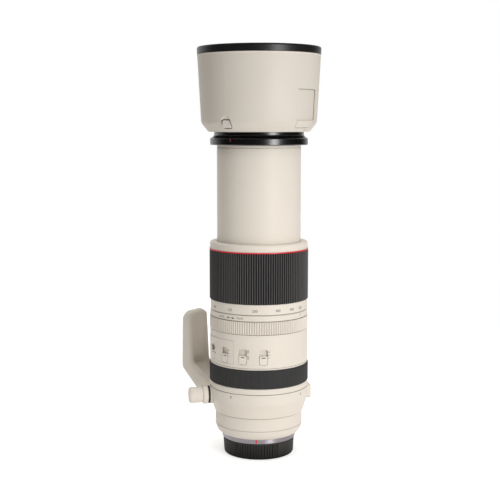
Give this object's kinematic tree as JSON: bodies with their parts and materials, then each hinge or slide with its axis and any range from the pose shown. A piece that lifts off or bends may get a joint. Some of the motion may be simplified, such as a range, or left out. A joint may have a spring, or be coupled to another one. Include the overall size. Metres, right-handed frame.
{
  "type": "camera zoom lens",
  "caption": "White telephoto zoom lens on its rear cap, zoomed out, with ribbed zoom and focus rings, knurled control ring, slide switches, tripod collar and foot, and hood with sliding door.",
  "frame": {"origin": "middle of the rear cap's base, on the optical axis", "axes": "+Z along the optical axis towards the front, +Y the top of the lens in use, tripod foot on -Y, switches on +X"},
  "size_m": [0.1159, 0.1409, 0.3856],
  "materials": {
    "cap_plastic": "fine matt moulding with ribs",
    "mount_steel": "turned and polished",
    "small_steel": "machined",
    "black_plastic": "matt black inside the lens",
    "gold_contacts": "gold plated",
    "board": "solder resist",
    "cream_paint": "satin warm-white enamel, finely textured",
    "switch_plastic": "satin moulded",
    "washer_rubber": "matt black rubber",
    "focus_rubber": "fine straight ribs",
    "zoom_rubber": "straight ribs",
    "red_band": "gloss red",
    "felt": "black flock",
    "inner_alloy": "anodised",
    "lens_glass": "coated optical glass",
    "black_gloss": "semi-gloss black",
    "hood_plastic": "satin warm-white paint on moulding"
  },
  "bodies": {
    "barrel": {"rear_barrel": "cream_paint", "mount_ring": "mount_steel", "mount_screws": "small_steel", "contact_block": "black_plastic", "contact_pins": "gold_contacts", "rear_baffle": "black_plastic", "main_board": "board", "index_ring": "cream_paint", "main_barrel": "cream_paint", "switch_panel": "cream_paint", "guide_barrel": "inner_alloy", "core_barrel": "black_plastic", "rear_cell": "black_plastic", "rear_glass": "lens_glass", "guide_rods": "small_steel", "focus_motor": "inner_alloy", "iris_unit": "black_plastic", "stabiliser_base": "inner_alloy"},
    "rear_cap": {"rear_cap": "cap_plastic"},
    "tripod_collar": {"tripod_collar": "cream_paint", "tripod_foot": "cream_paint", "tripod_socket": "small_steel", "knob_washer": "washer_rubber"},
    "lock_knob": {"lock_knob": "cream_paint"},
    "focus_ring": {"focus_ring": "inner_alloy", "focus_rubber": "focus_rubber"},
    "control_ring": {"control_ring": "cream_paint"},
    "tension_ring": {"tension_ring": "cream_paint"},
    "zoom_ring": {"zoom_ring": "cream_paint", "zoom_rubber": "zoom_rubber", "red_band": "red_band", "front_collar": "cream_paint", "dust_seal": "felt", "cam_barrel": "inner_alloy", "drive_keys": "small_steel"},
    "front_barrel": {"extension_tube": "cream_paint", "cam_rollers": "small_steel", "front_ring": "black_gloss", "front_cell": "black_gloss", "front_glass": "lens_glass", "front_inner_glass": "lens_glass", "front_retainer": "black_gloss"},
    "variator": {"variator_cell": "black_plastic", "variator_glass": "lens_glass"},
    "focus_group": {"focus_cell": "black_plastic", "focus_glass": "lens_glass"},
    "stabiliser_slider": {"stabiliser_slider": "inner_alloy"},
    "stabiliser_cell": {"stabiliser_cell": "black_plastic", "stabiliser_glass": "lens_glass"},
    "hood": {"hood_shell": "hood_plastic", "hood_lining": "felt", "hood_rim": "washer_rubber"},
    "hood_door": {"hood_door": "hood_plastic"},
    "hood_button": {"hood_button": "hood_plastic"},
    "focus_mode_switch": {"focus_mode_switch": "switch_plastic"},
    "focus_range_switch": {"focus_range_switch": "switch_plastic"},
    "stabiliser_switch": {"stabiliser_switch": "switch_plastic"},
    "stabiliser_mode_switch": {"stabiliser_mode_switch": "switch_plastic"}
  },
  "joints": [
    {"name": "zoom_turn", "type": "hinge", "parent": "barrel", "child": "zoom_ring", "pos_m": [0, 0, 0.17], "axis": [0, 0, 1], "range_deg": [0, 121]},
    {"name": "front_slide", "type": "slide", "parent": "barrel", "child": "front_barrel", "axis": [0, 0, 1], "range_m": [-0.088, 0]},
    {"name": "variator_slide", "type": "slide", "parent": "barrel", "child": "variator", "axis": [0, 0, 1], "range_m": [-0.02, 0]},
    {"name": "tension_turn", "type": "hinge", "parent": "barrel", "child": "tension_ring", "pos_m": [0, 0, 0.137], "axis": [0, 0, 1], "range_deg": [-30, 30]},
    {"name": "control_turn", "type": "hinge", "parent": "barrel", "child": "control_ring", "pos_m": [0, 0, 0.128], "axis": [0, 0, 1], "continuous": true},
    {"name": "focus_turn", "type": "hinge", "parent": "barrel", "child": "focus_ring", "pos_m": [0, 0, 0.08], "axis": [0, 0, 1], "continuous": true},
    {"name": "collar_turn", "type": "hinge", "parent": "barrel", "child": "tripod_collar", "pos_m": [0, 0, 0.055], "axis": [0, 0, 1], "continuous": true},
    {"name": "knob_turn", "type": "hinge", "parent": "tripod_collar", "child": "lock_knob", "pos_m": [0.04243, -0.04243, 0.0575], "axis": [0.7071, -0.7071, 0], "range_deg": [0, 270]},
    {"name": "cap_twist", "type": "hinge", "parent": "barrel", "child": "rear_cap", "pos_m": [0, 0, 0.008], "axis": [0, 0, 1], "range_deg": [-60, 0]},
    {"name": "hood_twist", "type": "hinge", "parent": "front_barrel", "child": "hood", "pos_m": [0, 0, 0.34], "axis": [0, 0, 1], "range_deg": [-96, 0]},
    {"name": "door_slide", "type": "slide", "parent": "hood", "child": "hood_door", "axis": [0.0028, 0.0542, 0.9985], "range_m": [0, 0.027]},
    {"name": "button_press", "type": "slide", "parent": "hood", "child": "hood_button", "axis": [-1, 0, 0], "range_m": [0, 0.0015], "stiffness_N_per_m": 800},
    {"name": "focus_mode_switch_slide", "type": "slide", "parent": "barrel", "child": "focus_mode_switch", "axis": [0, 0, 1], "range_m": [0, 0.0055]},
    {"name": "focus_range_switch_slide", "type": "slide", "parent": "barrel", "child": "focus_range_switch", "axis": [0, 0, 1], "range_m": [0, 0.0055]},
    {"name": "stabiliser_switch_slide", "type": "slide", "parent": "barrel", "child": "stabiliser_switch", "axis": [0, 0, 1], "range_m": [0, 0.0055]},
    {"name": "stabiliser_mode_switch_slide", "type": "slide", "parent": "barrel", "child": "stabiliser_mode_switch", "axis": [0, 0, 1], "range_m": [0, 0.0055]},
    {"name": "focus_slide", "type": "slide", "parent": "barrel", "child": "focus_group", "axis": [0, 0, 1], "range_m": [-0.012, 0.012]},
    {"name": "stabiliser_shift_x", "type": "slide", "parent": "barrel", "child": "stabiliser_slider", "axis": [1, 0, 0], "range_m": [-0.0012, 0.0012], "stiffness_N_per_m": 300},
    {"name": "stabiliser_shift_y", "type": "slide", "parent": "stabiliser_slider", "child": "stabiliser_cell", "axis": [0, 1, 0], "range_m": [-0.0012, 0.0012], "stiffness_N_per_m": 300}
  ],
  "couplings": [
    {"joint": "front_slide", "follows": "zoom_turn", "m_per_rad": -0.04167},
    {"joint": "variator_slide", "follows": "zoom_turn", "m_per_rad": -0.0094703}
  ]
}
